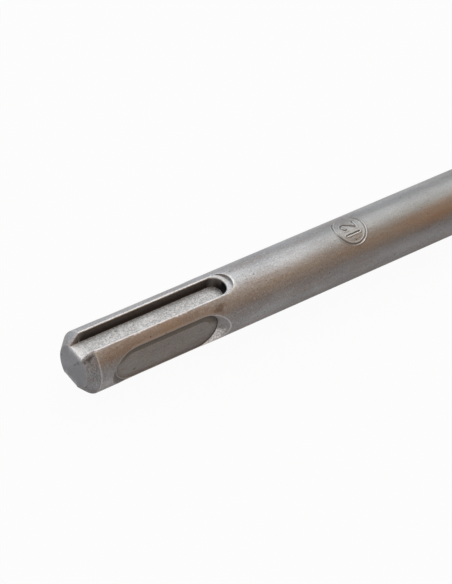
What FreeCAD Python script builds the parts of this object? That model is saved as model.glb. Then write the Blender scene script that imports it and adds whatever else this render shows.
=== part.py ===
import FreeCAD
import Part
import math
import os

# Hammer drill bit for masonry, 12 mm, with a slotted quick-change shank.
# The bit lies along +X: the struck end of the shank is at x = 0 and the point at x = overall_length.
# +Z points out of one drive slot and -Y out of one locking pocket. All lengths are millimetres.
# Two pieces: a one-piece steel body and the carbide tip that is brazed into its head.

Vector = FreeCAD.Vector
ORIGIN = Vector(0, 0, 0)
X_AXIS = Vector(1, 0, 0)
Z_AXIS = Vector(0, 0, 1)

# Overall sizes
overall_length = 210.0
shank_diameter = 10.0
body_diameter = 11.2
cutting_diameter = 12.0

# Struck end: a flat face inside a wide chamfer
end_face_diameter = 6.7
end_chamfer_length = 1.7

# Neck: the shank runs on as a plain round bar to a short cone up to the fluted body
neck_end = 80.0
neck_cone_length = 2.5

# Drive slots: open at the struck end, round at the other, with drafted walls
slot_floor_height = 2.9
slot_floor_width = 3.0
slot_wall_draft = 14.0
slot_end_centre = 25.6
slot_count = 2

# Shallow flat along the mouth of each drive slot, which runs on past the slot's end
mouth_flat_height = 4.5
mouth_flat_width = 4.4
mouth_flat_end_centre = 26.37

# Locking pockets: closed at both ends, with a dished floor, a small step and sloping ramps
pocket_floor_height = 3.42
pocket_floor_half_width = 2.1
pocket_step_half_width = 3.15
pocket_dish_rise = 0.13
pocket_ramp_base_half_width = 3.3
pocket_ramp_base_height = 3.64
pocket_ramp_run_per_rise = 1.2
pocket_first_centre = 8.6
pocket_last_centre = 21.05
pocket_count = 2

# Flutes: two right-hand flutes, which run out before the neck and steepen at the head
flute_count = 2
flute_start = 84.0
flute_run_out = 14.0
core_diameter = 5.8
flute_lead = 38.0
land_half_angle = 17.0
front_flank_start = 32.0
back_flank_start = 12.0
flank_power = 2.2
section_spacing = 5.0
flank_point_count = 3
cutter_margin = 1.0
run_out_clearance = 0.35

# Head: straighter flutes and wider lands, which hold the tip between two cheeks
head_length = 12.0
head_blend_length = 10.0
head_lead = 150.0
head_land_half_angle = 33.0
head_cone_drop = 3.2

# Carbide tip: a plate with a roof-shaped point, ground on four planes
tip_thickness = 3.2
tip_length = 10.0
point_angle = 130.0
tip_front_slope = 40.0
tip_back_slope = 22.0
tip_edge_offset = 0.35
tip_foot_chamfer = 0.8

shank_radius = shank_diameter / 2
body_radius = body_diameter / 2
core_radius = core_diameter / 2
point_half_complement = math.radians((180.0 - point_angle) / 2)


def smooth_step(t):
    """Rises from 0 to 1 as t goes from 0 to 1, level at both ends."""
    t = min(max(t, 0.0), 1.0)
    return t * t * (3 - 2 * t)


def turned(shape, degrees):
    """A copy of the shape turned about the bit's axis."""
    copy = shape.copy()
    copy.rotate(ORIGIN, X_AXIS, degrees)
    return copy


def cut_above_plane(shape, point, normal):
    """Grinds away what lies beyond the plane through point, on the side its normal points to."""
    reach = 60.0
    block = Part.makeBox(reach, reach, reach, Vector(-reach / 2, -reach / 2, 0))
    block.Placement = FreeCAD.Placement(point, FreeCAD.Rotation(Z_AXIS, normal)).multiply(block.Placement)
    return shape.cut(block)


def blended_corner(before, corner, after, setback):
    """The start, middle and end of a round arc that replaces a corner of an outline."""
    to_before = (before - corner).normalize()
    to_after = (after - corner).normalize()
    start = corner + to_before * setback
    end = corner + to_after * setback
    half_angle = to_before.getAngle(to_after) / 2
    radius = setback * math.tan(half_angle)
    inward = (to_before + to_after).normalize()
    middle = corner + inward * (setback / math.cos(half_angle) - radius)
    return start, middle, end


def turned_blank():
    """The steel bar before the slots and flutes are cut: struck end, neck cone, body and head cone."""
    head_end = overall_length - head_cone_drop
    head_rim = head_end - body_radius * math.tan(point_half_complement)
    axis_start = Vector(0, 0, 0)
    face_rim = Vector(0, 0, end_face_diameter / 2)
    chamfer_rim = Vector(end_chamfer_length, 0, shank_radius)
    neck_rim = Vector(neck_end, 0, shank_radius)
    cone_rim = Vector(neck_end + neck_cone_length, 0, body_radius)
    body_rim = Vector(head_rim, 0, body_radius)
    axis_end = Vector(head_end, 0, 0)
    neck_blend = blended_corner(chamfer_rim, neck_rim, cone_rim, neck_cone_length / 3)
    cone_blend = blended_corner(neck_rim, cone_rim, body_rim, neck_cone_length / 3)
    edges = [
        Part.makeLine(axis_start, face_rim),
        Part.makeLine(face_rim, chamfer_rim),
        Part.makeLine(chamfer_rim, neck_blend[0]),
        Part.Arc(*neck_blend).toShape(),
        Part.makeLine(neck_blend[2], cone_blend[0]),
        Part.Arc(*cone_blend).toShape(),
        Part.makeLine(cone_blend[2], body_rim),
        Part.makeLine(body_rim, axis_end),
        Part.makeLine(axis_end, axis_start),
    ]
    profile = Part.Face(Part.Wire(edges))
    blank = profile.revolve(ORIGIN, X_AXIS, 360)
    seam_angle = 45.0
    return turned(blank, seam_angle)


def mirrored(edge):
    """The edge's mirror image on the other side of the groove's middle plane."""
    return edge.mirror(ORIGIN, Vector(0, 1, 0))


def groove(half_outline, top, start, end, round_start):
    """A cutter with one cross-section, swept from start to end and turned round there.

    half_outline holds the edges from the middle of the floor outwards to the height top, in the plane x = 0.
    """
    floor_middle = half_outline[0].Vertexes[0].Point
    top_corner = half_outline[-1].Vertexes[-1].Point
    top_middle = Vector(0, 0, top)
    roof = Part.makeLine(top_corner, top_middle)
    half_face = Part.Face(Part.Wire(half_outline + [roof, Part.makeLine(top_middle, floor_middle)]))
    left = [mirrored(edge) for edge in half_outline + [roof]]
    section = Part.Face(Part.Wire(Part.sortEdges(half_outline + [roof] + left)[0]))
    section.translate(Vector(start, 0, 0))
    cutter = section.extrude(Vector(end - start, 0, 0))
    for centre in [start, end] if round_start else [end]:
        round_end = half_face.revolve(ORIGIN, Z_AXIS, 360)
        round_end.translate(Vector(centre, 0, 0))
        cutter = cutter.fuse(round_end)
    return cutter.removeSplitter()


def drive_slot():
    """Cutter of one drive slot: a groove with drafted walls, and the wider, shallow flat along its mouth."""
    top = shank_radius + 1.0
    open_start = -1.0
    draft = math.radians(slot_wall_draft)
    floor_corner = Vector(0, slot_floor_width / 2, slot_floor_height)
    wall_rise = mouth_flat_height - slot_floor_height
    lip_corner = floor_corner + Vector(0, wall_rise * math.tan(draft), wall_rise)
    flat_corner = Vector(0, mouth_flat_width / 2, mouth_flat_height)
    half_outline = [
        Part.makeLine(Vector(0, 0, slot_floor_height), floor_corner),
        Part.makeLine(floor_corner, lip_corner),
        Part.makeLine(lip_corner, flat_corner),
        Part.makeLine(flat_corner, Vector(0, mouth_flat_width / 2, top)),
    ]
    slot = groove(half_outline, top, open_start, slot_end_centre, False)
    flat_middle = Vector(0, 0, mouth_flat_height)
    flat_outline = [
        Part.makeLine(flat_middle, flat_corner),
        Part.makeLine(flat_corner, Vector(0, mouth_flat_width / 2, top)),
    ]
    mouth_flat = groove(flat_outline, top, open_start, mouth_flat_end_centre, False)
    return slot.fuse(mouth_flat).removeSplitter()


def locking_pocket():
    """Cutter of one locking pocket: dished floor, small step, then a ramp out to the surface all round."""
    top = shank_radius + 0.5
    dish_start = Vector(0, pocket_floor_half_width, pocket_floor_height)
    dish_run = pocket_step_half_width - pocket_floor_half_width
    dish_radius = (dish_run ** 2 + pocket_dish_rise ** 2) / (2 * pocket_dish_rise)
    dish_centre = dish_start + Vector(0, 0, dish_radius)
    dish_end = Vector(0, pocket_step_half_width, pocket_floor_height + pocket_dish_rise)
    half_turn = math.asin(dish_run / dish_radius) / 2
    dish_middle = dish_centre + Vector(0, math.sin(half_turn), -math.cos(half_turn)) * dish_radius
    step_top = Vector(0, pocket_step_half_width, pocket_ramp_base_height)
    ramp_base = Vector(0, pocket_ramp_base_half_width, pocket_ramp_base_height)
    ramp_rise = top - pocket_ramp_base_height
    ramp_top = ramp_base + Vector(0, ramp_rise * pocket_ramp_run_per_rise, ramp_rise)
    half_outline = [
        Part.makeLine(Vector(0, 0, pocket_floor_height), dish_start),
        Part.Arc(dish_start, dish_middle, dish_end).toShape(),
        Part.makeLine(dish_end, step_top),
        Part.makeLine(step_top, ramp_base),
        Part.makeLine(ramp_base, ramp_top),
    ]
    return groove(half_outline, top, pocket_first_centre, pocket_last_centre, True)


def steel_end():
    """Where the head's cone meets the axis."""
    return overall_length - head_cone_drop


def twist_at(x):
    """Angle of the lands at x, in degrees: the tip's width lies along Y, and the twist slows in the head."""
    angle = 0.0
    step = 0.1
    at = steel_end()
    while at > x:
        share = smooth_step((steel_end() - head_length - at) / head_blend_length)
        rate = 360.0 / head_lead + (360.0 / flute_lead - 360.0 / head_lead) * share
        length = min(step, at - x)
        angle -= rate * length
        at -= length
    return angle


def flute_section(x, flute_angle):
    """Closed outline of the flute cutter at x: the core and two flanks inside, an arc outside the bar.

    Towards the run-out the whole outline moves away from the axis until it is clear of the bar.
    """
    share_of_head = 1 - smooth_step((steel_end() - head_length - x) / head_blend_length)
    half_land = land_half_angle + (head_land_half_angle - land_half_angle) * share_of_head
    land_edge = 90.0 - half_land
    outer = body_radius + cutter_margin
    reach = ((outer - core_radius) / (body_radius - core_radius)) ** (1 / flank_power)
    lift = (body_radius + run_out_clearance - core_radius) * (1 - smooth_step((x - flute_start) / flute_run_out))
    middle = math.radians(twist_at(x) + flute_angle)

    def at(degrees, radius):
        angle = middle + math.radians(degrees)
        y = radius * math.cos(angle) + lift * math.cos(middle)
        z = radius * math.sin(angle) + lift * math.sin(middle)
        return Vector(x, y, z)

    def flank(side, flank_start):
        points = []
        for i in range(flank_point_count):
            t = reach * (i + 1) / flank_point_count
            radius = core_radius + (body_radius - core_radius) * t ** flank_power
            points.append(at(side * (flank_start + (land_edge - flank_start) * t), radius))
        return points

    core = [at(angle, core_radius) for angle in (-back_flank_start, 0.0, front_flank_start / 2, front_flank_start)]
    points = flank(-1, back_flank_start)[::-1] + core + flank(1, front_flank_start)
    inside = Part.BSplineCurve()
    inside.interpolate(Points=points, Parameters=[float(i) for i in range(len(points))])
    first = -(back_flank_start + (land_edge - back_flank_start) * reach)
    last = front_flank_start + (land_edge - front_flank_start) * reach
    outside = Part.Arc(at(last, outer), at((first + last) / 2, outer), at(first, outer))
    return Part.Wire([inside.toShape(), outside.toShape()])


def flute_cutter(flute_angle):
    """Cutter of one flute, lofted through its sections from the run-out to beyond the head."""
    end = overall_length + 1.0
    count = round((end - flute_start) / section_spacing)
    stations = [flute_start + (end - flute_start) * i / count for i in range(count + 1)]
    return Part.makeLoft([flute_section(x, flute_angle) for x in stations], True, False)


def tip_blank():
    """The carbide plate before grinding: a flat bar with its foot's long corners chamfered."""
    foot = overall_length - tip_length
    half_width = cutting_diameter / 2
    outline = [
        Vector(foot, half_width - tip_foot_chamfer, 0),
        Vector(foot + tip_foot_chamfer, half_width, 0),
        Vector(overall_length, half_width, 0),
        Vector(overall_length, -half_width, 0),
        Vector(foot + tip_foot_chamfer, -half_width, 0),
        Vector(foot, -half_width + tip_foot_chamfer, 0),
    ]
    face = Part.Face(Part.makePolygon(outline + [outline[0]]))
    face.translate(Vector(0, 0, -tip_thickness / 2))
    return face.extrude(Vector(0, 0, tip_thickness))


def carbide_tip():
    """The plate ground round to the cutting diameter, then to a point on two planes each side."""
    bar = Part.makeCylinder(cutting_diameter / 2, tip_length, Vector(overall_length - tip_length, 0, 0), X_AXIS)
    tip = tip_blank().common(bar)
    point = Vector(overall_length, 0, 0)
    fall = math.tan(point_half_complement)
    front = math.tan(math.radians(tip_front_slope))
    back = math.tan(math.radians(tip_back_slope))
    for side in (1, -1):
        edge = point + Vector(0, 0, side * tip_edge_offset)
        tip = cut_above_plane(tip, edge, Vector(1, side * fall, side * front))
        tip = cut_above_plane(tip, edge, Vector(1, side * fall, -side * back))
    return tip


def around_axis(shape, first_angle, count):
    """Copies of the shape, evenly spaced about the bit's axis."""
    return [turned(shape, first_angle + i * 360.0 / count) for i in range(count)]


def steel_body():
    """The turned bar with its flutes, drive slots, locking pockets and the seat of the tip."""
    flutes = around_axis(flute_cutter(90), 0, flute_count)
    slots = around_axis(drive_slot(), 0, slot_count)
    pockets = around_axis(locking_pocket(), 90, pocket_count)
    return turned_blank().cut(flutes).cut(slots + pockets).cut(tip_seat())


def tip_seat():
    """The slot across the head that the tip is brazed into: the plate's own section, open at the top."""
    beyond = 5.0
    seat = Part.makeBox(
        tip_length + beyond,
        cutting_diameter + beyond,
        tip_thickness,
        Vector(overall_length - tip_length, -(cutting_diameter + beyond) / 2, -tip_thickness / 2),
    )
    return seat


def export(shape, name):
    """Writes one piece as a STEP file and says what it holds."""
    solids = shape.Solids
    piece = solids[0] if len(solids) == 1 else Part.makeCompound(solids)
    piece.exportStep(os.path.join("parts", name + ".step"))
    print(name, "solids", len(solids), "valid", shape.isValid(), "volume %.1f" % shape.Volume)


os.makedirs("parts", exist_ok=True)
export(steel_body(), "steel_body")
export(carbide_tip(), "carbide_tip")
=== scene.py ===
import math

import bmesh
import bpy
import numpy as np
from mathutils import Matrix, Vector
from mathutils.geometry import delaunay_2d_cdt


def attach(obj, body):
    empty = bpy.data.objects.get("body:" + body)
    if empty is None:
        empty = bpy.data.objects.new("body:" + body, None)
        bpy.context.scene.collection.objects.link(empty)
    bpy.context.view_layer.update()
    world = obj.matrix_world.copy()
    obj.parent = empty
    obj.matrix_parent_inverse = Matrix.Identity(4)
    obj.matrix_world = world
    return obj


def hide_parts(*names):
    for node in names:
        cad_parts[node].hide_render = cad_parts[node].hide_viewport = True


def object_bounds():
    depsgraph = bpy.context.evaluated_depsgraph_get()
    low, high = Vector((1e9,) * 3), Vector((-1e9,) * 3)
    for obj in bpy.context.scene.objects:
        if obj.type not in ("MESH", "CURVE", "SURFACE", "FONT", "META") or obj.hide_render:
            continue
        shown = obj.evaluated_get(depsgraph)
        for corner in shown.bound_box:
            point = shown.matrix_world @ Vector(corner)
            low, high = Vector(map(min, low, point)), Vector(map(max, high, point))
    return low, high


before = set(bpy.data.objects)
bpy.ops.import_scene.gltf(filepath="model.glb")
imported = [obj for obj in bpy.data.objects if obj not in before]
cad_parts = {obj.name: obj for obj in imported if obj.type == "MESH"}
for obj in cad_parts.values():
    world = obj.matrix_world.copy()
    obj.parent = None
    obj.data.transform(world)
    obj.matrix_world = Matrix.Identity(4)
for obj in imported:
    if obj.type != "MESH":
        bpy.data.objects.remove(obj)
cad_low, cad_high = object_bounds()

# Every size of the bit is in millimetres and is turned into metres when a mesh is made.
# The bit lies along +X with its struck end at x = 0. Angles about the axis run from +Y towards +Z.
MM = 0.001

SHANK_RADIUS = 5.0
FACE_RADIUS = 3.35
CHAMFER_LENGTH = 1.7
CHAMFER_ROUND = 0.12
NECK_END = 80.0
NECK_CONE_LENGTH = 2.5
# The drawn body stays a hair inside the solid one.
BODY_RADIUS = 5.6 - 0.0005

SLOT_ANGLES = (90.0, 270.0)
SLOT_FLOOR_HEIGHT = 2.9
SLOT_HALF_WIDTH = 1.5
SLOT_WALL_DRAFT = math.radians(14.0)
SLOT_END_CENTRE = 25.6
SLOT_LIP_ROUND = 0.16
FRONT_BEVEL = 0.13
MOUTH_HEIGHT = 4.5
MOUTH_HALF_WIDTH = 2.2
MOUTH_END_CENTRE = 26.37

POCKET_ANGLES = (0.0, 180.0)
POCKET_FIRST_CENTRE = 8.6
POCKET_LAST_CENTRE = 21.05
POCKET_FLOOR_HEIGHT = 3.42
POCKET_FLOOR_HALF_WIDTH = 2.1
POCKET_STEP_HALF_WIDTH = 3.15
POCKET_DISH_RISE = 0.13
POCKET_RAMP_BASE = (3.3, 3.64)
POCKET_RAMP_RUN = 1.2

FLUTE_START = 84.0
FLUTE_RUN_OUT = 14.0
FLUTE_LEAD = 38.0
CORE_RADIUS = 2.9
LAND_HALF_ANGLE = 17.0
FRONT_FLANK_START = 32.0
BACK_FLANK_START = 12.0
FLANK_POWER = 2.2
RUN_OUT_CLEARANCE = 0.35
FLUTE_MARGIN = 1.0

OVERALL_LENGTH = 210.0
HEAD_CONE_DROP = 3.2
HEAD_END = OVERALL_LENGTH - HEAD_CONE_DROP
HEAD_LENGTH = 12.0
HEAD_BLEND_LENGTH = 10.0
HEAD_LEAD = 150.0
HEAD_LAND_HALF_ANGLE = 33.0
POINT_FALL = math.tan(math.radians(25.0))
TIP_LENGTH = 10.0
TIP_THICKNESS = 3.2


def smooth_step(t):
    """Rises from 0 to 1 as t goes from 0 to 1, level at both ends."""
    t = np.clip(t, 0.0, 1.0)
    return t * t * (3 - 2 * t)


def around(angle, height, across):
    """Turns a point at a height out from the axis and a distance across it into y and z."""
    a = math.radians(angle)
    y = height * math.cos(a) - across * math.sin(a)
    z = height * math.sin(a) + across * math.cos(a)
    return y, z


def bent(start, corner, end, t):
    """The point at a share t of the curve that leaves and arrives straight from its corner."""
    places = zip(start, corner, end)
    return tuple(a * (1 - t) ** 2 + b * 2 * t * (1 - t) + c * t ** 2 for a, b, c in places)


def rounded(points, corner, setback, steps=4):
    """The polyline with one corner replaced by a smooth curve that starts setback before it."""
    before, at, after = (np.array(points[i], float) for i in (corner - 1, corner, corner + 1))
    start = at + (before - at) / np.linalg.norm(before - at) * setback
    end = at + (after - at) / np.linalg.norm(after - at) * setback
    curve = [bent(start, at, end, i / steps) for i in range(steps + 1)]
    return list(points[:corner]) + curve + list(points[corner + 1:])


def bevelled(reach, height):
    """Where the bevel round a slot's open end meets the struck end, for a point of the outline."""
    if height <= SLOT_FLOOR_HEIGHT and reach < SLOT_HALF_WIDTH:
        return reach, height - FRONT_BEVEL
    if height <= SLOT_FLOOR_HEIGHT:
        return reach + FRONT_BEVEL / 2, height - FRONT_BEVEL
    skin_reach = math.sqrt(SHANK_RADIUS ** 2 - height ** 2)
    return reach + min(FRONT_BEVEL, (skin_reach - reach) / 2), height


def unit(vectors):
    return vectors / np.maximum(np.linalg.norm(vectors, axis=1, keepdims=True), 1e-9)


def running_length(a, b):
    """How far a line has come at each of its points, from the two parts of its steps."""
    return np.concatenate([[0.0], np.cumsum(np.hypot(a, b))])


class Skin:
    """The turned outside of shank and neck: a profile of x and radius from the end face on."""

    def __init__(self, last_x):
        rim_setback = FACE_RADIUS - math.hypot(*bevelled(SLOT_HALF_WIDTH, SLOT_FLOOR_HEIGHT))
        profile = [
            (0.0, FACE_RADIUS - rim_setback * 2),
            (0.0, FACE_RADIUS),
            (CHAMFER_LENGTH, SHANK_RADIUS),
            (NECK_END, SHANK_RADIUS),
            (NECK_END + NECK_CONE_LENGTH, BODY_RADIUS),
            (last_x, BODY_RADIUS),
        ]
        setbacks = (rim_setback, CHAMFER_ROUND, NECK_CONE_LENGTH / 3, NECK_CONE_LENGTH / 3)
        for corner in (4, 3, 2, 1):
            profile = rounded(profile, corner, setbacks[corner - 1])
        self.x, self.r = np.array(profile[1:]).T
        self.s = running_length(np.diff(self.x), np.diff(self.r))
        self.full_radius_from = int(np.argmax(self.r >= SHANK_RADIUS - 1e-9))

    def along(self, x):
        return np.interp(x, self.x, self.s)

    def x_at(self, s):
        return np.interp(s, self.s, self.x)

    def radius_at(self, s):
        return np.interp(s, self.s, self.r)

    def x_of_radius(self, r):
        """Where the struck end first reaches that radius."""
        last = self.full_radius_from + 1
        return float(np.interp(r, self.r[:last], self.x[:last]))


# Points of two patches that lie closer than this, in millimetres, become one.
JOIN_DISTANCE = 0.002
SHORTEST_EDGE = 0.001


def plain_mesh(bm, name):
    mesh = bpy.data.meshes.new(name)
    bm.to_mesh(mesh)
    bm.free()
    return mesh


class Patches:
    """Gathers points and faces of one mesh, in millimetres."""

    def __init__(self):
        self.points = []
        self.faces = []

    def add_points(self, points):
        start = len(self.points)
        self.points.extend(tuple(float(c) for c in p) for p in points)
        return range(start, start + len(points))

    def strip(self, rows, closed):
        """Quads between neighbouring rows of equal length."""
        ids = [self.add_points(row) for row in rows]
        count = len(rows[0])
        for a, b in zip(ids, ids[1:]):
            for i in range(count if closed else count - 1):
                j = (i + 1) % count
                self.faces.append((a[i], a[j], b[j], b[i]))

    def fan(self, ring, middle):
        """Closes a ring with triangles that meet in its middle."""
        ids = self.add_points(list(ring) + [middle])
        count = len(ring)
        self.faces += [(ids[i], ids[(i + 1) % count], ids[count]) for i in range(count)]

    def triangles(self, points, triangles):
        ids = self.add_points(points)
        self.faces.extend(tuple(ids[i] for i in t) for t in triangles)

    def mesh(self, name):
        """One closed mesh, with the patches joined where their points meet."""
        bm = bmesh.new()
        verts = [bm.verts.new([c * MM for c in p]) for p in self.points]
        for face in self.faces:
            if len(set(face)) == len(face):
                bm.faces.new([verts[i] for i in face])
        bmesh.ops.remove_doubles(bm, verts=bm.verts, dist=JOIN_DISTANCE * MM)
        bmesh.ops.dissolve_degenerate(bm, dist=SHORTEST_EDGE * MM, edges=bm.edges)
        bmesh.ops.recalc_face_normals(bm, faces=bm.faces)
        return plain_mesh(bm, name)


# Twice the area of the smallest triangle that is kept, in square millimetres.
SLIVER = 2e-6


def triangulated(points, edges, tolerance):
    """Joins flat points with triangles that keep to the edges. Returns points and triangles."""
    made = delaunay_2d_cdt([Vector(p) for p in points], edges, [], 0, tolerance)
    flat, triangles = np.array([tuple(v) for v in made[0]]), np.array(made[2])
    a, b, c = (flat[triangles[:, i]] for i in range(3))
    (u0, v0), (u1, v1) = (b - a).T, (c - a).T
    return flat, triangles[np.abs(u0 * v1 - v0 * u1) > SLIVER]


def inside(polygon, points):
    """Which of the points lie in the polygon."""
    x, y = points[:, 0], points[:, 1]
    hit = np.zeros(len(points), bool)
    for (x0, y0), (x1, y1) in zip(polygon, np.roll(polygon, -1, axis=0)):
        crosses = (y0 > y) != (y1 > y)
        if y1 != y0:
            hit ^= crosses & (x < (x1 - x0) * (y - y0) / (y1 - y0) + x0)
    return hit


SLOT_STRAIGHT_STEPS = 32
ROUND_STEPS = 28


def slot_row(reach, height, start, centre, limit, mouth):
    """A row of points along a drive slot: in on one side, round its end and back on the other.

    limit is the reach at which the row is cut off. mouth gives the x, reach and height of the
    row's ends, where they are bevelled.
    """
    ahead = [start + (centre - start) * i / SLOT_STRAIGHT_STEPS for i in range(SLOT_STRAIGHT_STEPS)]
    side = min(reach, limit)
    row = [(x, side, height) for x in ahead]
    for i in range(ROUND_STEPS + 1):
        turn = math.pi * i / ROUND_STEPS
        across = max(-limit, min(limit, reach * math.cos(turn)))
        row.append((centre + reach * math.sin(turn), across, height))
    row += [(x, -side, height) for x in reversed(ahead)]
    x, mouth_reach, mouth_height = mouth
    return [(x, mouth_reach, mouth_height)] + row + [(x, -mouth_reach, mouth_height)]


def slot_rows(skin):
    """Rows of one drive slot, from its middle line out to where it meets the skin."""
    wall_rise = MOUTH_HEIGHT - SLOT_FLOOR_HEIGHT
    lip = SLOT_HALF_WIDTH + wall_rise * math.tan(SLOT_WALL_DRAFT)
    profile = [(SLOT_HALF_WIDTH * i / 4, SLOT_FLOOR_HEIGHT) for i in range(5)]
    for share in (0.03, 0.25, 0.5, 0.75):
        reach = SLOT_HALF_WIDTH + (lip - SLOT_HALF_WIDTH) * share
        profile.append((reach, SLOT_FLOOR_HEIGHT + wall_rise * share))
    profile.append((lip, MOUTH_HEIGHT))
    profile.append((lip + 2 * SLOT_LIP_ROUND, MOUTH_HEIGHT))
    profile = rounded(profile, len(profile) - 2, SLOT_LIP_ROUND)[:-1]
    rows = []
    for reach, height in profile:
        start = skin.x_of_radius(math.hypot(reach, height)) + FRONT_BEVEL
        open_reach, open_height = bevelled(reach, height)
        open_x = skin.x_of_radius(math.hypot(open_reach, open_height))
        mouth = (open_x, open_reach, open_height)
        rows.append(slot_row(reach, height, start, SLOT_END_CENTRE, reach, mouth))
    limit = math.sqrt(SHANK_RADIUS ** 2 - MOUTH_HEIGHT ** 2)
    start = skin.x[skin.full_radius_from]
    mouth = (start, limit, MOUTH_HEIGHT)
    shelf = slot_row(MOUTH_HALF_WIDTH, MOUTH_HEIGHT, start, MOUTH_END_CENTRE, limit, mouth)
    rim = [(x, v, math.sqrt(SHANK_RADIUS ** 2 - v * v)) for x, v, h in shelf]
    between = [(x, v, (h + top) / 2) for (x, v, h), (_, _, top) in zip(shelf, rim)]
    rows += [shelf, between, rim]
    return rows


POCKET_STRAIGHT_STEPS = 22


def pocket_path():
    """Points and outward directions along a locking pocket's middle line, once round it."""
    path = []
    ends = (POCKET_FIRST_CENTRE, POCKET_LAST_CENTRE)
    for half_turns, (start, end) in enumerate((ends, ends[::-1])):
        for i in range(POCKET_STRAIGHT_STEPS):
            x = start + (end - start) * i / POCKET_STRAIGHT_STEPS
            path.append((x, 0.0, 1.0 - 2.0 * half_turns))
        for i in range(ROUND_STEPS):
            turn = math.pi * (half_turns + i / ROUND_STEPS)
            path.append((end, math.sin(turn), math.cos(turn)))
    return path


def ramp_height(reach):
    return POCKET_RAMP_BASE[1] + (reach - POCKET_RAMP_BASE[0]) / POCKET_RAMP_RUN


def rim_reach(out_across):
    """How far from the pocket's middle line its ramp meets the round of the shank."""
    low, high = POCKET_RAMP_BASE[0], 8.0
    for _ in range(50):
        middle = (low + high) / 2
        across = out_across * middle
        above = ramp_height(middle) ** 2 + across ** 2 > SHANK_RADIUS ** 2
        low, high = (low, middle) if above else (middle, high)
    return low


POCKET_RIM_ROUND = 0.12


def pocket_rows():
    """Rows of one locking pocket from its middle line out to the skin."""
    profile = [(POCKET_FLOOR_HALF_WIDTH * i / 4, POCKET_FLOOR_HEIGHT) for i in range(5)]
    run = POCKET_STEP_HALF_WIDTH - POCKET_FLOOR_HALF_WIDTH
    for i in range(1, 6):
        share = i / 5
        height = POCKET_FLOOR_HEIGHT + POCKET_DISH_RISE * share ** 2
        profile.append((POCKET_FLOOR_HALF_WIDTH + run * share, height))
    profile.append((POCKET_STEP_HALF_WIDTH + 0.03, POCKET_RAMP_BASE[1] - 0.02))
    profile.append((POCKET_STEP_HALF_WIDTH + 0.07, POCKET_RAMP_BASE[1]))
    profile.append(POCKET_RAMP_BASE)
    path = pocket_path()
    rows = [
        [(x + out_x * reach, out_v * reach, height) for x, out_x, out_v in path]
        for reach, height in profile
    ]
    rims = [rim_reach(out_v) for x, out_x, out_v in path]

    def on_ramp(share_of):
        row = []
        for (x, out_x, out_v), rim in zip(path, rims):
            reach = share_of(rim)
            row.append((x + out_x * reach, out_v * reach, ramp_height(reach)))
        return row

    base = POCKET_RAMP_BASE[0]
    for share in (0.33, 0.66):
        rows.append(on_ramp(lambda rim: base + (max(base, rim - POCKET_RIM_ROUND) - base) * share))
    inner = on_ramp(lambda rim: max(rim - POCKET_RIM_ROUND, (rim + base) / 2))
    corner = on_ramp(lambda rim: rim)
    outer = []
    for (x, out_x, out_v), rim in zip(path, rims):
        angle = math.asin(out_v * rim / SHANK_RADIUS) + out_v * POCKET_RIM_ROUND / SHANK_RADIUS
        out = x + out_x * (rim + POCKET_RIM_ROUND)
        outer.append((out, SHANK_RADIUS * math.sin(angle), SHANK_RADIUS * math.cos(angle)))
    rows.append(inner)
    for t in (0.33, 0.66):
        rows.append([bent(*places, t) for places in zip(inner, corner, outer)])
    rows.append(outer)
    return rows


def placed(row, angle):
    """A row of points across a groove at that angle, as x, y and z."""
    return [(x, *around(angle, height, across)) for x, across, height in row]


def about_axis(row, angle):
    """The same row of points as x and angle about the axis."""
    return [(x, angle + math.degrees(math.atan2(across, height))) for x, across, height in row]


def twist_table():
    """Stations along the bit and the lands' angle there, which fits the plate at the head's end."""
    step = 0.1
    x = np.arange(HEAD_END, FLUTE_START - step, -step)
    share = smooth_step((HEAD_END - HEAD_LENGTH - x) / HEAD_BLEND_LENGTH)
    rate = 360.0 / HEAD_LEAD + (360.0 / FLUTE_LEAD - 360.0 / HEAD_LEAD) * share
    angle = -np.concatenate([[0.0], np.cumsum((rate[1:] + rate[:-1]) / 2 * step)])
    return x[::-1], angle[::-1]


LAND_STEPS = 24
FLUTE_STEPS = 40
TWIST_X, TWIST_ANGLE = twist_table()


def flute_outline(x, samples=60):
    """The flute's cross-section at x as angles and radii, with its middle at angle 0."""
    share_of_head = 1 - smooth_step((HEAD_END - HEAD_LENGTH - x) / HEAD_BLEND_LENGTH)
    land_edge = 90.0 - (LAND_HALF_ANGLE + (HEAD_LAND_HALF_ANGLE - LAND_HALF_ANGLE) * share_of_head)
    depth = BODY_RADIUS - CORE_RADIUS
    reach = ((depth + FLUTE_MARGIN) / depth) ** (1 / FLANK_POWER)
    t = np.linspace(0, reach, samples)
    flank_radius = CORE_RADIUS + depth * t ** FLANK_POWER
    back = -(BACK_FLANK_START + (land_edge - BACK_FLANK_START) * t)[::-1]
    front = FRONT_FLANK_START + (land_edge - FRONT_FLANK_START) * t
    core = np.linspace(-BACK_FLANK_START, FRONT_FLANK_START, samples)[1:-1]
    angle = np.radians(np.concatenate([back, core, front]))
    radius = np.concatenate([flank_radius[::-1], np.full(len(core), CORE_RADIUS), flank_radius])
    run_out = 1 - smooth_step((x - FLUTE_START) / FLUTE_RUN_OUT)
    lift = (BODY_RADIUS + RUN_OUT_CLEARANCE - CORE_RADIUS) * run_out
    out = radius * np.cos(angle) + lift
    across = radius * np.sin(angle)
    return np.arctan2(across, out), np.hypot(out, across)


def cut_part(angle, radius, limit):
    """The stretch of the outline within the limit, its ends on the limit, or None if broken."""
    below = np.nonzero(radius < limit)[0]
    if len(below) < len(radius) / 4 or below[-1] - below[0] + 1 > len(below):
        return None
    first, last = below[0], below[-1]

    def crossing(i, j):
        share = (limit - radius[i]) / (radius[j] - radius[i])
        return angle[i] + (angle[j] - angle[i]) * share

    ends = (crossing(first - 1, first), crossing(last, last + 1))
    a = np.concatenate([ends[:1], angle[first:last + 1], ends[1:]])
    r = np.concatenate([[limit], radius[first:last + 1], [limit]])
    return a, r


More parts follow.
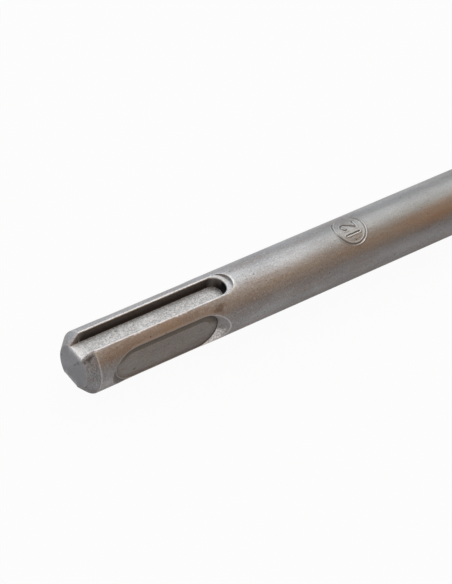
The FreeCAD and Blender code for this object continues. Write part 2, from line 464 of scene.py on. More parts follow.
def flute_ring(x, born):
    """Angles and radii once round the body at x.

    born gives the angles of the flute's edges at the first station where its cut is whole.
    """
    outline = flute_outline(x)
    cut = cut_part(*outline, BODY_RADIUS)
    if cut is None:
        a = np.linspace(born[0], born[1], FLUTE_STEPS + 1)
        r = np.minimum(np.interp(a, *outline), BODY_RADIUS)
    else:
        length = running_length(np.diff(cut[1]), np.diff(cut[0]) * cut[1][1:])
        even = np.linspace(0, length[-1], FLUTE_STEPS + 1)
        a = np.interp(even, length, cut[0])
        r = np.interp(even, length, cut[1])
    land = np.linspace(a[-1], a[0] + math.pi, LAND_STEPS + 1)[1:-1]
    half_a = np.concatenate([a, land])
    half_r = np.concatenate([r, np.full(len(land), BODY_RADIUS)])
    middle = math.radians(np.interp(x, TWIST_X, TWIST_ANGLE) + 90.0)
    return np.concatenate([half_a, half_a + math.pi]) + middle, np.concatenate([half_r, half_r])


def flute_stations():
    """Places along the bit that get a ring of points, from just past the flutes' start."""
    whole = FLUTE_START + FLUTE_RUN_OUT
    head = HEAD_END - 8.0
    spans = ((FLUTE_START + 0.5, whole, 0.35), (whole, head, 0.6), (head, HEAD_END + 0.5, 0.4))
    return np.concatenate([np.arange(*span) for span in spans])


# The stamp's centre as x and degrees. Its ring is a little shorter along the bit than round it.
STAMP_CENTRE = (52.26, 93.3)
STAMP_RADIUS = 2.87
STAMP_SQUEEZE = 0.94
STAMP_HALF_STROKE = 0.15
STAMP_DEPTH = 0.14
STAMP_WALL = 0.13
STAMP_BURR = 0.04
STAMP_DIGIT_LENGTH = 2.6
STAMP_GRID = 0.075
STAMP_FADE = 1.3


def stroke_distance(points, stroke):
    """Distance of each point from a polyline."""
    best = np.full(len(points), 1e9)
    for a, b in zip(stroke, stroke[1:]):
        a, b = np.array(a), np.array(b)
        along = np.clip(((points - a) @ (b - a)) / max((b - a) @ (b - a), 1e-12), 0, 1)
        best = np.minimum(best, np.linalg.norm(points - (a + along[:, None] * (b - a)), axis=1))
    return best


def arc(centre, radius, start, end, steps=16):
    turns = [math.radians(start + (end - start) * i / steps) for i in range(steps + 1)]
    return [(centre[0] + radius * math.cos(t), centre[1] + radius * math.sin(t)) for t in turns]


def stamp_strokes():
    """The stamp's strokes on the unrolled skin: a ring, and 1 and 2 with their tops at low x.

    Across grows with the angle about the axis, so the digits run the other way.
    """
    top = -STAMP_DIGIT_LENGTH / 2
    foot = STAMP_DIGIT_LENGTH / 2
    one = [(top, 1.07), (foot, 1.07)]
    bowl = arc((top + 0.58, -0.5), 0.58, 75, 290)
    two = bowl + [(foot, 0.16), (foot, -1.04)]
    ring = [(u * STAMP_SQUEEZE, v) for u, v in arc((0, 0), STAMP_RADIUS, 0, 360, 72)]
    return [ring, one, two]


def stamp_depth(x, angle):
    """How deep the stamp is pressed at each place on the skin."""
    across = np.radians((angle - STAMP_CENTRE[1] + 180) % 360 - 180) * SHANK_RADIUS
    points = np.stack([x - STAMP_CENTRE[0], across], axis=1)
    depth = np.zeros(len(points))
    near = np.nonzero(np.hypot(points[:, 0], points[:, 1]) < STAMP_RADIUS + 0.6)[0]
    if len(near) == 0:
        return depth
    distance = np.min([stroke_distance(points[near], s) for s in stamp_strokes()], axis=0)
    pressed = smooth_step((across[near] + STAMP_RADIUS + 0.15) / STAMP_FADE)
    past_wall = (distance - STAMP_HALF_STROKE) / STAMP_WALL
    burr = STAMP_BURR * smooth_step(past_wall + 0.6) * smooth_step(2 - past_wall)
    depth[near] = pressed * (STAMP_DEPTH * (1 - smooth_step(past_wall + 1)) - burr)
    return depth


# Where the unrolled skin is cut open, clear of slots, pockets and stamp.
SEAM_ANGLE = 48.5
GUARD = 0.1
# Millimetres round the shank for each degree about its axis.
DEGREE = math.radians(1.0) * SHANK_RADIUS
SEAM_TOLERANCE = 1e-6
CLEARANCE = 0.3


def guard_points(loop):
    """Points just outside a loop, which keep the bare edge and painted highlight from spreading."""
    ahead = np.roll(loop, -1, axis=0) - np.roll(loop, 1, axis=0)
    out = np.stack([ahead[:, 1], -ahead[:, 0]], axis=1)
    turns = np.sum(loop[:, 0] * np.roll(loop[:, 1], -1) - np.roll(loop[:, 0], -1) * loop[:, 1])
    return loop + unit(out) * GUARD * (1 if turns > 0 else -1)


def skin_rows(skin):
    """Distances along the skin at which a row of points goes round it."""
    slots_end, fine_gap, gap = 30.0, 0.8, 1.2
    shoulder = skin.x[skin.full_radius_from]
    rows = list(skin.s[: skin.full_radius_from + 1])
    # The chamfer is one long span of the profile, between its fifth and sixth points.
    rows += list(np.linspace(skin.s[4], skin.s[5], 5)[1:-1])
    rows += [skin.along(x) for x in np.arange(shoulder + 0.7, slots_end, fine_gap)]
    rows += [skin.along(x) for x in np.arange(slots_end, NECK_END - gap, gap)]
    rows += list(skin.s[skin.x > NECK_END - gap][:-1])
    return np.unique(np.round(rows, 5))


def skin_grids(skin, seam, loops):
    """A coarse grid on the unrolled skin, clear of the loops, and a fine one for the stamp."""
    columns = seam + np.arange(145) * 2.5
    columns[-1] = seam + 360.0
    grid = np.array([(s, a * DEGREE) for s in skin_rows(skin) for a in columns])

    def on_seam(points):
        sides = columns[[0, -1]] * DEGREE
        return np.abs(points[:, 1, None] - sides).min(axis=1) < SEAM_TOLERANCE

    half = STAMP_RADIUS + 0.5
    fine = np.arange(-half, half + 1e-6, STAMP_GRID)
    stamp_angle = (STAMP_CENTRE[1] - seam) % 360 + seam
    stamp = np.array([skin.along(STAMP_CENTRE[0]), stamp_angle * DEGREE])
    fine_grid = np.array([stamp + (u, v) for u in fine for v in fine])
    in_stamp = np.abs(grid - stamp).max(axis=1) < half + CLEARANCE
    grid = grid[~in_stamp | on_seam(grid)]
    on_side = on_seam(grid)
    keep = np.ones(len(grid), bool)
    for loop, _ in loops:
        keep &= ~inside(loop, grid)
        for part in np.array_split(np.arange(len(grid)), 8):
            gap = np.linalg.norm(grid[part][:, None, :] - loop[None, :, :], axis=2).min(axis=1)
            keep[part] &= (gap > CLEARANCE) | on_side[part]
    return [grid[keep], fine_grid]


def skin_triangles(skin, outlines, last_angles):
    """Triangulates the unrolled skin round the outlines.

    Returns points as x, y and z, the triangles, and the points on the end face's rim.
    """
    seam = last_angles[0]
    loops = []
    for outline, is_closed in outlines:
        loop = [(skin.along(x), ((a - seam) % 360 + seam) * DEGREE) for x, a in outline]
        loops.append((np.array(loop), is_closed))
    last = np.array([(skin.s[-1], a * DEGREE) for a in list(last_angles) + [seam + 360.0]])
    points = skin_grids(skin, seam, loops) + [last]
    for loop, _ in loops:
        guard = guard_points(loop)
        points.append(guard[guard[:, 0] > skin.along(CHAMFER_LENGTH + 0.25)])
    edges = []
    base = sum(len(p) for p in points)
    for loop, is_closed in loops:
        count = len(loop)
        last_edge = count if is_closed else count - 1
        edges += [(base + i, base + (i + 1) % count) for i in range(last_edge)]
        points.append(loop)
        base += count
    flat, faces = triangulated(np.concatenate(points), edges, 1e-5)
    for loop, _ in loops:
        faces = faces[~inside(loop, flat[faces].mean(axis=1))]
    x = skin.x_at(flat[:, 0])
    angle = flat[:, 1] / DEGREE
    radius = skin.radius_at(flat[:, 0]) - stamp_depth(x, angle)
    turn = np.radians(angle)
    solid = np.stack([x, radius * np.cos(turn), radius * np.sin(turn)], axis=1)
    on_rim = flat[:, 0] < SEAM_TOLERANCE
    return solid, faces, solid[on_rim]


def body_patches():
    """All patches of the steel body: end face, skin, slots, pockets and fluted part."""
    patches = Patches()
    stations = flute_stations()
    cuts = [cut_part(*flute_outline(x), BODY_RADIUS) for x in stations]
    born = next(c for c in cuts if c is not None)
    rings = [flute_ring(x, (born[0][0], born[0][-1])) for x in stations]
    last_angles = np.degrees(rings[0][0]) % 360
    first = int(np.argmin(np.abs(last_angles - SEAM_ANGLE)))
    last_angles = np.roll(last_angles, -first)
    last_angles = np.where(last_angles < last_angles[0], last_angles + 360, last_angles)
    skin = Skin(stations[0])
    outlines = []
    floor_rows = []
    for angle in SLOT_ANGLES:
        rows = slot_rows(skin)
        patches.strip([placed(row, angle) for row in rows], False)
        on_skin = [row for row in rows if math.hypot(row[0][1], row[0][2]) > skin.r[0] - 1e-6]
        outline = [row[0] for row in on_skin[:-1]] + on_skin[-1]
        outline += [row[-1] for row in on_skin[-2::-1]]
        outlines.append((about_axis(outline, angle), False))
        for row in rows:
            if row[0][0] == 0.0 and math.hypot(row[0][1], row[0][2]) < skin.r[0] + 1e-6:
                floor_rows += placed([row[0], row[-1]], angle)
    for angle in POCKET_ANGLES:
        rows = pocket_rows()
        patches.strip([placed(row, angle) for row in rows], True)
        outlines.append((about_axis(rows[-1], angle), True))
    solid, triangles, rim = skin_triangles(skin, outlines, last_angles)
    patches.triangles(solid, triangles)
    patches.triangles(*face_triangles(np.concatenate([rim, np.array(floor_rows)])))
    tube = []
    for x, (a, r) in zip(stations, rings):
        tube.append(np.stack([np.full(len(a), x), r * np.cos(a), r * np.sin(a)], axis=1))
    patches.strip(tube, True)
    patches.fan(tube[-1], (stations[-1], 0.0, 0.0))
    return patches


def face_triangles(rim):
    """The flat end face inside its rim."""
    inner = [
        (r * math.cos(t), r * math.sin(t))
        for r, count in ((2.5, 36), (1.9, 28), (1.3, 20), (0.7, 12), (0.0, 1))
        for t in (2 * math.pi * i / count for i in range(count))
    ]
    points = [(y, z) for x, y, z in rim] + inner
    flat, faces = triangulated(points, [], 1e-4)
    return [(0.0, y, z) for y, z in flat], faces


def new_object(name, data):
    made = bpy.data.objects.new(name, data)
    bpy.context.scene.collection.objects.link(made)
    return made


def seat_cutter():
    """A block of the plate's thickness that opens the seat across the head."""
    bm = bmesh.new()
    bmesh.ops.create_cube(bm, size=1.0)
    start = OVERALL_LENGTH - TIP_LENGTH
    length = TIP_LENGTH + 4.0
    width = 3 * BODY_RADIUS
    bmesh.ops.scale(bm, vec=(length * MM, width * MM, TIP_THICKNESS * MM), verts=bm.verts)
    bmesh.ops.translate(bm, vec=((start + length / 2) * MM, 0, 0), verts=bm.verts)
    return new_object("seat_cutter", plain_mesh(bm, "seat_cutter"))


def roof_cutter(sides=120, reach=8.0, start=-5.0):
    """A turned solid with the point's cone, which the head is kept within."""
    rows = [(start, reach), (HEAD_END - reach * POINT_FALL, reach)]
    patches = Patches()
    turns = [2 * math.pi * i / sides for i in range(sides)]
    tube = [[(x, r * math.cos(t), r * math.sin(t)) for t in turns] for x, r in rows]
    patches.strip(tube, True)
    for ring, middle in zip(tube, (start, HEAD_END)):
        patches.fan(ring, (middle, 0.0, 0.0))
    return new_object("roof_cutter", patches.mesh("roof_cutter"))


def cut_body(body, cutter, operation):
    """Cuts the body with another solid, which is used up."""
    modifier = body.modifiers.new("cut", "BOOLEAN")
    modifier.operation = operation
    modifier.solver = "EXACT"
    modifier.object = cutter
    bpy.context.view_layer.update()
    graph = bpy.context.evaluated_depsgraph_get()
    mesh = bpy.data.meshes.new_from_object(body.evaluated_get(graph))
    body.modifiers.clear()
    body.data = mesh
    bpy.data.objects.remove(cutter)


SHARP_ANGLE = math.radians(28)


def make_body():
    """The steel body as one closed mesh."""
    body = new_object("bit_body", body_patches().mesh("bit_body"))
    cut_body(body, roof_cutter(), "INTERSECT")
    cut_body(body, seat_cutter(), "DIFFERENCE")
    for polygon in body.data.polygons:
        polygon.use_smooth = True
    body.data.set_sharp_from_angle(angle=SHARP_ANGLE)
    return body


def set_attribute(mesh, name, values):
    attribute = mesh.attributes.new(name, "FLOAT", "POINT")
    attribute.data.foreach_set("value", np.asarray(values, dtype=np.float32))


def read(items, name, kind, width):
    """One property of all the items of a mesh, a row for each."""
    values = np.zeros(len(items) * width, dtype=kind)
    items.foreach_get(name, values)
    return values.reshape(-1, width)


def positions(mesh):
    return read(mesh.vertices, "co", np.float32, 3) / MM


# Bare metal rubbed on the edges, partly painted highlight.
def edge_wear_and_highlight(mesh):
    """How sharply the surface bends outwards at each vertex, 0 to 1."""
    points = positions(mesh)
    normals = read(mesh.polygons, "normal", np.float32, 3)
    totals = read(mesh.polygons, "loop_total", np.int32, 1)[:, 0]
    corners = read(mesh.loops, "vertex_index", np.int32, 1)[:, 0]
    face_of = np.repeat(np.arange(len(totals)), totals)
    smooth = np.zeros((len(points), 3))
    np.add.at(smooth, corners, normals[face_of])
    smooth = unit(smooth)
    a, b = read(mesh.edges, "vertices", np.int32, 2).T
    step = points[a] - points[b]
    length = np.maximum(np.linalg.norm(step, axis=1), 0.02)
    bend = np.einsum("ij,ij->i", smooth[a] - smooth[b], step) / length
    worn_and_lit = np.zeros(len(points))
    np.maximum.at(worn_and_lit, a, bend)
    np.maximum.at(worn_and_lit, b, bend)
    wear_and_highlight = smooth_step((worn_and_lit - 0.12) / 0.5)
    x, y, z = points.T
    y, top = np.abs(y), z > 0
    wear_and_highlight[pocket_inside(points) & (y < POCKET_RAMP_BASE[1] + 0.03)] = 0.0
    # A painted highlight along the slots' lips.
    on_lip = (np.abs(z) > MOUTH_HEIGHT - 0.12) & (y < MOUTH_HALF_WIDTH)
    on_lip &= (x < SLOT_END_CENTRE) & (y > SLOT_HALF_WIDTH)
    wear_and_highlight[on_lip] = np.maximum(wear_and_highlight[on_lip], 0.85)
    wear_and_highlight[(np.abs(x - STAMP_CENTRE[0]) < STAMP_RADIUS + 1) & top] = 0.0
    return wear_and_highlight


def pocket_distance(points):
    """Distance of each point from a locking pocket's middle line, seen from above the pocket."""
    x = points[:, 0]
    past = np.maximum(np.maximum(POCKET_FIRST_CENTRE - x, x - POCKET_LAST_CENTRE), 0)
    return np.hypot(past, points[:, 2])


def pocket_inside(points):
    """Which of the points belong to a locking pocket."""
    height = np.abs(points[:, 1])
    within = (height > POCKET_FLOOR_HEIGHT - 0.1) & (height < SHANK_RADIUS - 0.05)
    return within & (pocket_distance(points) < rim_reach(0.0))


def pocket_shade(points):
    """Painted shade along the foot of a locking pocket's step, most of it on the upper side."""
    distance = pocket_distance(points)
    band = smooth_step((distance - 2.45) / 0.5) * smooth_step((3.34 - distance) / 0.08)
    amount = 0.25 + 0.2 * smooth_step(points[:, 2] / 2.0)
    on_floor = pocket_inside(points) & (np.abs(points[:, 1]) < POCKET_RAMP_BASE[1] + 0.01)
    return band * amount * on_floor


# Strength of the slots' scale and painted shade, kept as a vertex attribute.
def slot_shade(points):
    """1 on the walls of the drive slots, a little less on the mouths' end walls, 0 elsewhere."""
    height = np.abs(points[:, 2])
    across = np.abs(points[:, 1])
    on_wall = (height > SLOT_FLOOR_HEIGHT + 0.03) & (height < MOUTH_HEIGHT - 0.02)
    on_wall &= (across < 2.05) & (points[:, 0] < SLOT_END_CENTRE + 2.05)
    past_centre = np.maximum(points[:, 0] - MOUTH_END_CENTRE, 0)
    reach = np.hypot(past_centre, across)
    at_end = (past_centre > 0) & (np.abs(reach - MOUTH_HALF_WIDTH) < 0.03)
    at_end &= (height > MOUTH_HEIGHT + 0.02) & (np.hypot(height, across) < SHANK_RADIUS - 0.02)
    return np.where(on_wall, 1.0, np.where(at_end, 0.75, 0.0))


def stamp_light_and_shade(points):
    """Painted highlight above 0 on walls facing the struck end and the top, painted shade below 0
    on the others.
    """
    x = points[:, 0]
    angle = np.degrees(np.arctan2(points[:, 2], points[:, 1]))
    step = 0.05
    turn = math.degrees(step / SHANK_RADIUS)
    along = stamp_depth(x - step, angle) - stamp_depth(x + step, angle)
    across = stamp_depth(x, angle - turn) - stamp_depth(x, angle + turn)
    steepest = 1.5 * STAMP_DEPTH / STAMP_WALL
    # Painted shade in the strokes' bottoms.
    bottom = np.clip(stamp_depth(x, angle) / STAMP_DEPTH, 0, 1)
    return (0.6 * along + 0.8 * across) / (2 * step) / steepest - 0.4 * bottom ** 2


class Nodes:
    """Short names for building a material or a world. Colours are red, green and blue."""

    def __init__(self, owner):
        owner.use_nodes = True
        self.tree = owner.node_tree
        self.tree.nodes.clear()

    def add(self, kind, inputs=None, **settings):
        node = self.tree.nodes.new(kind)
        for name, value in settings.items():
            setattr(node, name, value)
        for name, value in (inputs or {}).items():
            self.put(node.inputs[name], value)
        return node

    def put(self, socket, value):
        """Links another node's output to the socket, or sets a constant on it."""
        if isinstance(value, bpy.types.NodeSocket):
            self.tree.links.new(value, socket)
        elif socket.type == "RGBA":
            socket.default_value = (*value, 1.0)
        else:
            socket.default_value = value

    def math(self, operation, a, b=0.0):
        return self.add("ShaderNodeMath", {0: a, 1: b}, operation=operation).outputs[0]

    def product(self, *parts):
        """Multiplies sockets and numbers. A tuple among them is what ramp() takes."""
        first, *others = (self.ramp(*p) if isinstance(p, tuple) else p for p in parts)
        for other in others:
            first = self.math("MULTIPLY", first, other)
        return first

    def length(self, a, b):
        squares = [self.math("POWER", part, 2.0) for part in (a, b)]
        return self.math("SQRT", self.math("ADD", *squares))

    def ramp(self, value, low, high, to_low=0.0, to_high=1.0):
        """Goes smoothly from to_low to to_high as the value goes from low to high."""
        limits = {"From Min": low, "From Max": high, "To Min": to_low, "To Max": to_high}
        inputs = {"Value": value, **limits}
        node = self.add("ShaderNodeMapRange", inputs, interpolation_type="SMOOTHSTEP")
        return node.outputs["Result"]

    def band(self, value, rise, fall):
        """Rises and falls again. Each side is given as its place of 0 and its place of 1."""
        return self.product((value, *rise), (value, *fall))

    def mix(self, share, a, b):
        node = self.add("ShaderNodeMix", data_type="RGBA")
        for name, value in (("Factor_Float", self.product(share)), ("A_Color", a), ("B_Color", b)):
            self.put(next(i for i in node.inputs if i.identifier == name), value)
        return next(o for o in node.outputs if o.identifier == "Result_Color")

    def colours(self, value, stops):
        node = self.add("ShaderNodeValToRGB", {"Fac": value})
        elements = node.color_ramp.elements
        while len(elements) < len(stops):
            elements.new(0.5)
        for element, (place, colour) in zip(elements, stops):
            element.position = place
            element.color = (*colour, 1)
        return node.outputs["Color"]

    def noise(self, vector, scale, detail=3.0, roughness=0.55):
        inputs = {"Vector": vector, "Scale": scale, "Detail": detail, "Roughness": roughness}
        return self.add("ShaderNodeTexNoise", inputs).outputs["Fac"]

    def attribute(self, name):
        return self.add("ShaderNodeAttribute", attribute_name=name).outputs["Fac"]

    def stretched(self, vector, factors):
        inputs = {0: vector, 1: factors}
        return self.add("ShaderNodeVectorMath", inputs, operation="MULTIPLY").outputs[0]

    def millimetres(self):
        """Places on the piece in millimetres."""
        place = self.add("ShaderNodeTexCoord").outputs["Object"]
        return self.stretched(place, (1000.0, 1000.0, 1000.0))

    def metal(self, colour, roughness, relief, strength, distance, metallic=1.0):
        """Ends a material as metal, with the relief given as heights."""
        height = {"Height": relief, "Strength": strength, "Distance": distance}
        normal = self.add("ShaderNodeBump", height).outputs[0]
        inputs = {"Metallic": metallic, "Base Color": colour, "Roughness": roughness}
        shader = self.add("ShaderNodeBsdfPrincipled", {**inputs, "Normal": normal})
        self.add("ShaderNodeOutputMaterial", {0: shader.outputs[0]})


def grey(level):
    return (level, level, level)


LIGHT_STEEL = (0.47, 0.476, 0.488)
DARK_STEEL = (0.38, 0.384, 0.394)
FAR_END_SHADE = (0.27, 0.265, 0.26)
TOP_HIGHLIGHT_SHADE = (0.19, 0.195, 0.175)
HEAT_STAIN = (0.30, 0.215, 0.15)
LIGHT_GRAIN = (0.6, 0.595, 0.58)
DARK_GRAIN = (0.15, 0.135, 0.12)
DARK_SPECK = (0.15, 0.14, 0.13)
STRUCK_FACE = (0.28, 0.29, 0.315)
ROUGH_SHADED_CHAMFER = (0.19, 0.197, 0.212)
CORNER_SHADE = (0.05, 0.048, 0.045)
SLOT_FLOOR_SPECKS = (grey(0.28), grey(0.66))
POCKET_FLOOR_SPECKS = ((0.19, 0.15, 0.11), (0.31, 0.26, 0.2))
POCKET_SHADE = (0.085, 0.085, 0.08)
FIRST_RAMP_SHADE = (0.13, 0.12, 0.11)
FIRST_RIM_HIGHLIGHT = (0.7, 0.7, 0.69)
FIRST_FOOT_HIGHLIGHT = (0.75, 0.74, 0.73)
LAST_RAMP_HIGHLIGHT = ((0.5, 0.52, 0.56), grey(1.0))
LAST_FOOT_SHADE = (0.05, 0.045, 0.04)
PIT = (0.06, 0.05, 0.045)
SLOT_SCALE_AND_SHADE = (0.055, 0.044, 0.038)
SLOT_END_SCALE_AND_SHADE = (0.014, 0.014, 0.018)
STAMP_SHADE = (0.09, 0.08, 0.075)
STAMP_LIGHT = (0.92, 0.92, 0.91)
WORN_AND_LIT_EDGE = (0.72, 0.71, 0.7)

# Stains, nicks and bands on the shank: centre as x and degrees, half sizes, colour and strength.
MARKS = (
    # First and last rows: long brown bands along one side, partly stain and partly painted
    # reflection.
    ((13, 131), (11, 2), (0.31, 0.21, 0.13), 0.42),
    ((15.2, 125), (2.2, 1.2), (0.46, 0.29, 0.14), 0.2),
    ((24.2, 133), (1, 0.6), (0.12, 0.075, 0.05), 0.5),
    ((9.1, 211), (0.3, 0.2), (0.04, 0.035, 0.03), 0.85),
    ((3, 186), (0.9, 0.7), (0.6, 0.59, 0.58), 0.5),
    ((70, 129), (9, 1.5), (0.46, 0.32, 0.23), 0.4),
)


class SteelNodes(Nodes):
    """Shot-blasted tool steel. Each method paints a part of it over the colour so far."""

    def __init__(self, material):
        super().__init__(material)
        self.mm = self.millimetres()
        self.x, self.y, self.z = self.add("ShaderNodeSeparateXYZ", {0: self.mm}).outputs
        self.out_y = self.math("ABSOLUTE", self.y)
        self.out_z = self.math("ABSOLUTE", self.z)
        self.angle = self.math("ARCTAN2", self.z, self.y)
        turned = self.math("ADD", self.angle, 2 * math.pi)
        self.full_angle = self.math("MODULO", turned, 2 * math.pi)
        self.cloudy = self.noise(self.stretched(self.mm, (0.35, 1, 1)), 0.28, 4)
        self.grain = self.noise(self.mm, 5.5, 2, 0.6)
        self.speckle = self.noise(self.mm, 3.4, 3, 0.75)
        self.floor_speckle = self.noise(self.mm, 4.6, 2, 0.6)
        self.wobble = self.ramp(self.noise(self.mm, 1.6, 3), 0.2, 0.8, -0.45, 0.45)
        self.pits = self.ramp(self.noise(self.mm, 1.9, 1, 0.4), 0.26, 0.2)
        self.off_face = self.ramp(self.x, 0.02, 0.2)

    def paint(self, colour, strength, *masks):
        """Lays a colour over what is there, as far as all the masks and the strength let it."""
        self.colour = self.mix(self.product(*masks, strength), self.colour, colour)

    def spot(self, centre, size):
        """A soft ragged mark on the skin, given as x and degrees, and its half sizes."""
        along = self.math("DIVIDE", self.math("SUBTRACT", self.x, centre[0]), size[0])
        turn = self.math("SUBTRACT", self.full_angle, math.radians(centre[1]))
        across = self.math("DIVIDE", self.product(turn, SHANK_RADIUS), size[1])
        distance = self.math("ADD", self.length(along, across), self.wobble)
        return self.ramp(distance, 1.5, 0.35)

    def paint_steel(self):
        """Clouded grey, darkened by painted shade away from the struck end, with long brown streaks
        of heat.
        """
        streaks = self.noise(self.stretched(self.mm, (0.12, 1, 1)), 0.9, 3)
        self.colour = self.mix((self.cloudy, 0.35, 0.65), LIGHT_STEEL, DARK_STEEL)
        # Painted shade: the steel darkens away from the struck end.
        self.paint(FAR_END_SHADE, 0.4, (self.x, 20, 65))
        self.paint(HEAT_STAIN, 0.3, (streaks, 0.42, 0.7))

    def paint_grain(self):
        """The blasted finish, coarser near the struck end."""
        self.paint(LIGHT_GRAIN, 0.6, (self.grain, 0.52, 0.75))
        self.paint(DARK_GRAIN, 0.6, (self.grain, 0.45, 0.25))
        share = self.ramp(self.x, 28, 58, 0.45, 0.1)
        self.paint(grey(0.75), share, (self.speckle, 0.54, 0.68))
        self.paint(DARK_SPECK, share, (self.speckle, 0.46, 0.32))

    def paint_marks(self):
        """Stains, nicks and bands, and painted shade along the top of the shank's far half."""
        for centre, size, colour, strength in MARKS:
            self.paint(colour, strength, self.spot(centre, size))
        sides = [tuple(math.radians(a) for a in side) for side in ((50, 78), (134, 108))]
        # Painted shade that dims the highlight along the top of the far half.
        dimmed_highlight = self.band(self.x, (38, 56), (96, 80))
        self.paint(TOP_HIGHLIGHT_SHADE, 0.38, dimmed_highlight, self.band(self.angle, *sides))

    def paint_struck_end(self):
        """A hammered chamfer, rougher and in painted shade on its lower side, and a plain grey
        face.
        """
        ragged_angle = self.math("ADD", self.full_angle, self.wobble)
        lower_side = self.ramp(ragged_angle, math.radians(80), math.radians(125), 0.25, 1)
        struck = self.ramp(self.x, CHAMFER_LENGTH + 0.25, CHAMFER_LENGTH - 0.15)
        hammered = self.ramp(self.grain, 0.65, 0.35, 0.1, 0.6)
        self.rough_shaded_patch = self.product(struck, self.off_face, hammered, lower_side)
        # Rougher on the lower side, and darkened there with painted shade.
        self.paint(ROUGH_SHADED_CHAMFER, 1, self.rough_shaded_patch)
        self.paint(STRUCK_FACE, 0.6, (self.x, 0.06, 0.02))
        # Painted shade on the chamfer by a slot's near corner.
        self.paint(CORNER_SHADE, 0.75, self.spot((0.7, 121), (0.75, 0.8)))

    def paint_slot_floors(self):
        """Pale speckled floors, with painted shade along the near lip."""
        floor, side = SLOT_FLOOR_HEIGHT, SLOT_HALF_WIDTH
        end = SLOT_END_CENTRE + SLOT_HALF_WIDTH
        on_floor = self.product(
            self.band(self.out_z, (floor - 0.2, floor - 0.12), (floor + 0.1, floor + 0.03)),
            self.ramp(self.out_y, side + 0.1, side - 0.02),
            self.ramp(self.x, end + 0.3, end),
            self.off_face,
        )
        specks = self.mix((self.floor_speckle, 0.3, 0.7), *SLOT_FLOOR_SPECKS)
        self.paint(specks, 0.85, on_floor)
        # Painted shade on the floor along the near lip.
        self.paint(grey(0.2), 0.4, on_floor, (self.y, -0.8, -1.45))

    def paint_pockets(self):
        """Brown floors, painted shade under the upper rim, ramps edged with painted light and
        shade.
        """
        middle = (POCKET_FIRST_CENTRE + POCKET_LAST_CENTRE) / 2
        half = (POCKET_LAST_CENTRE - POCKET_FIRST_CENTRE) / 2
        from_middle = self.math("ABSOLUTE", self.math("SUBTRACT", self.x, middle))
        past = self.math("MAXIMUM", self.math("SUBTRACT", from_middle, half), 0)
        reach = self.length(past, self.z)
        radius = self.length(self.y, self.z)
        inside_skin = self.ramp(radius, SHANK_RADIUS - 0.015, SHANK_RADIUS - 0.045)
        in_pocket = self.product(inside_skin, (reach, 5.2, 5), (self.out_y, 3.2, 3.3))

        def lined(colour, strength, rise, fall, *masks):
            self.paint(colour, strength, self.band(reach, rise, fall), *masks)

        # Painted shade under the upper rim, and a painted highlight along the shade's lower edge.
        lined(POCKET_SHADE, 0.75, (1.86, 2), (3.4, 3.3), in_pocket, (self.z, 0.2, 1.6))
        lined(grey(0.5), 0.35, (1.55, 1.7), (1.88, 1.78), in_pocket, (self.z, 0.5, 1.5))
        # A painted highlight on the skin's edge beside the upper rim.
        at_top = self.product((self.z, 2.2, 3), (past, 2, 0.5), (self.out_y, 3.2, 3.4))
        lined(grey(0.6), 0.4, (3.32, 3.4), (3.72, 3.5), at_top)
        specks = self.mix((self.floor_speckle, 0.35, 0.65), *POCKET_FLOOR_SPECKS)
        self.paint(specks, 0.45, in_pocket, (reach, 3.3, 3.2))
        on_ramp = self.product(in_pocket, (reach, 3.3, 3.36))
        # Painted shade on the first ramp, and a painted highlight along its rim.
        self.paint(FIRST_RAMP_SHADE, 0.6, on_ramp, (reach, 4.6, 3.9), (self.x, 8.6, 7.4))
        self.paint(FIRST_RIM_HIGHLIGHT, 0.6, in_pocket, (reach, 4.55, 4.75), (self.x, 8, 7))
        # A painted highlight of bright specks on the lower part of the last ramp.
        lower = self.ramp(self.math("ADD", self.z, self.wobble), -0.3, -1.1)
        self.ramp_highlight = self.product(on_ramp, (self.x, 20.6, 21.6), (reach, 4.7, 3.9), lower)
        highlight_specks = self.mix((self.speckle, 0.35, 0.6), *LAST_RAMP_HIGHLIGHT)
        self.paint(highlight_specks, 0.95, self.ramp_highlight)
        # A painted highlight on the skin round the last end.
        at_skin = self.band(radius, (4.84, 4.92), (4.996, 4.98))
        lined(grey(0.75), 0.6, (3.5, 3.7), (5.2, 5.05), at_skin, (self.x, 21.5, 23))
        # Painted shade in the crease at the last ramp's foot.
        lined(LAST_FOOT_SHADE, 0.75, (3.12, 3.18), (3.32, 3.26), in_pocket, (self.x, 20, 22.2))
        # A painted highlight along the first ramp's foot.
        lined(FIRST_FOOT_HIGHLIGHT, 0.6, (3.14, 3.2), (3.34, 3.28), in_pocket, (self.x, 9.4, 7.8))

    def paint_pits_scale_and_shade(self):
        """Pits, and scale and painted shade on the slots' walls, blackest at their closed ends."""
        self.paint(PIT, 0.7, self.pits)
        shade = self.attribute("shade")
        # glint: a painted reflection that leaves the walls lighter where they round the slots'
        # ends.
        glint = self.product(self.band(self.x, (25.3, 26), (27, 26.3)), (self.y, 0.5, 1, 0, 0.5))
        dark = self.math("SUBTRACT", 1, glint)
        # Scale and painted shade on the walls, darker towards the slots' floors.
        scale = self.product(shade, (self.out_z, 3.2, 4.2, 0.97, 0.55), dark)
        # Painted shade at the closed ends, nearly black.
        at_end = self.product((self.x, 25.8, 26.9), (self.y, 1.3, 0.1))
        end_scale_and_shade = self.product(shade, at_end, (self.out_z, 4.45, 4.3, 0.6, 0.97))
        tint = self.mix(at_end, SLOT_SCALE_AND_SHADE, SLOT_END_SCALE_AND_SHADE)
        self.paint(tint, 1, self.math("MAXIMUM", scale, end_scale_and_shade))

    def paint_stamp(self):
        """Painted shade and painted highlight on the sides of the pressed strokes."""
        stamp_lighting = self.attribute("stamp_lighting")
        self.paint(STAMP_SHADE, 0.5, (stamp_lighting, -0.05, -0.6))
        self.paint(STAMP_LIGHT, 0.8, (stamp_lighting, 0.06, 0.4))

